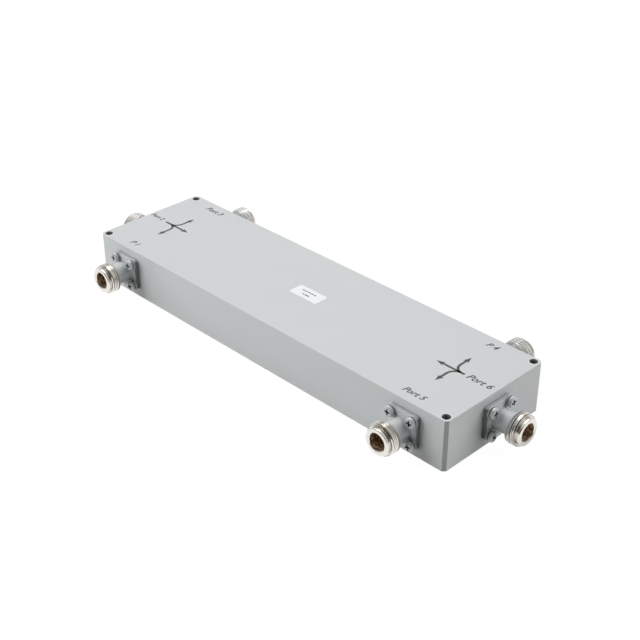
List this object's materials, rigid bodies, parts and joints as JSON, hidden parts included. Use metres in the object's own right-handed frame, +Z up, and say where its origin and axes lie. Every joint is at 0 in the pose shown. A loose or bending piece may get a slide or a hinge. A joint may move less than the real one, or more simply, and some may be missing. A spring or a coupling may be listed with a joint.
{
  "type": "directional coupler",
  "caption": "Flat milled metal box with flanged, threaded coaxial jacks on its ends and sides; it taps a small share of the signal on its main line.",
  "frame": {"origin": "centre of the housing's footprint, on the flat face that it rests on", "axes": "+X along the main line from its input jack to its output jack, +Y to the back long side, +Z up through the top face"},
  "size_m": [0.2852, 0.1052, 0.0272],
  "materials": {
    "grey_paint": "satin light grey paint on milled aluminium",
    "nickel_plate": "bright nickel plate on brass; flange and neck painted grey with the box",
    "gold_plate": "gold plate on a copper alloy",
    "white_dielectric": "white low-loss plastic",
    "silvered_brass": "silver plate on brass",
    "painted_fasteners": "steel, painted light grey with the box",
    "steel_fasteners": "plain stainless steel",
    "label_film": "matt white film with faint grey marks"
  },
  "bodies": {
    "root": {"housing": "grey_paint", "cover_plate": "grey_paint", "cover_screws": "steel_fasteners", "main_line": "silvered_brass", "coupled_line_front": "silvered_brass", "coupled_line_back": "silvered_brass", "line_support_1": "white_dielectric", "line_support_2": "white_dielectric", "line_support_3": "white_dielectric", "label": "label_film", "port_1_jack_body": "nickel_plate", "port_1_insulator": "white_dielectric", "port_1_centre_contact": "gold_plate", "port_1_flange_screws": "painted_fasteners", "port_1_spring_washers": "painted_fasteners", "port_1_flat_washers": "painted_fasteners", "port_2_jack_body": "nickel_plate", "port_2_insulator": "white_dielectric", "port_2_centre_contact": "gold_plate", "port_2_flange_screws": "painted_fasteners", "port_2_spring_washers": "painted_fasteners", "port_2_flat_washers": "painted_fasteners", "port_3_jack_body": "nickel_plate", "port_3_insulator": "white_dielectric", "port_3_centre_contact": "gold_plate", "port_3_flange_screws": "painted_fasteners", "port_3_spring_washers": "painted_fasteners", "port_3_flat_washers": "painted_fasteners", "port_4_jack_body": "nickel_plate", "port_4_insulator": "white_dielectric", "port_4_centre_contact": "gold_plate", "port_4_flange_screws": "painted_fasteners", "port_4_spring_washers": "painted_fasteners", "port_4_flat_washers": "painted_fasteners", "port_5_jack_body": "nickel_plate", "port_5_insulator": "white_dielectric", "port_5_centre_contact": "gold_plate", "port_5_flange_screws": "painted_fasteners", "port_5_spring_washers": "painted_fasteners", "port_5_flat_washers": "painted_fasteners", "port_6_jack_body": "nickel_plate", "port_6_insulator": "white_dielectric", "port_6_centre_contact": "gold_plate", "port_6_flange_screws": "painted_fasteners", "port_6_spring_washers": "painted_fasteners", "port_6_flat_washers": "painted_fasteners"}
  },
  "joints": []
}
